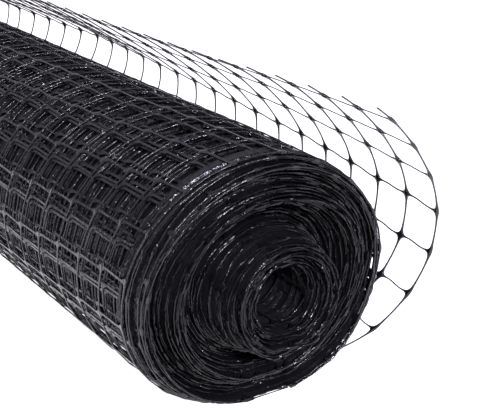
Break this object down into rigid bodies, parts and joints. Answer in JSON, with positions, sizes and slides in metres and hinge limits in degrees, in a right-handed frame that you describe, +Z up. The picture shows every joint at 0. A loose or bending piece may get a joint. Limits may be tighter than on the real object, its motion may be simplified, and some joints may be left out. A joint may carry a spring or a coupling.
{
  "type": "roll of mole netting",
  "caption": "Wound roll of black plastic mole netting with an open core, slipped, stepped ends and its outer turn sprung loose along one side as an open net.",
  "frame": {"origin": "on the flat spot that the roll lies on, under the middle of its axis", "axes": "+Y along the roll's axis, away from the end where the core stands out, +X towards the loose end, +Z up"},
  "size_m": [0.1075, 1.0371, 0.1175],
  "materials": {
    "netting": "black stretched polypropylene net, satin with small bright glints on the strands"
  },
  "bodies": {
    "root": {"roll": "netting", "loose_end": "netting"}
  },
  "joints": []
}
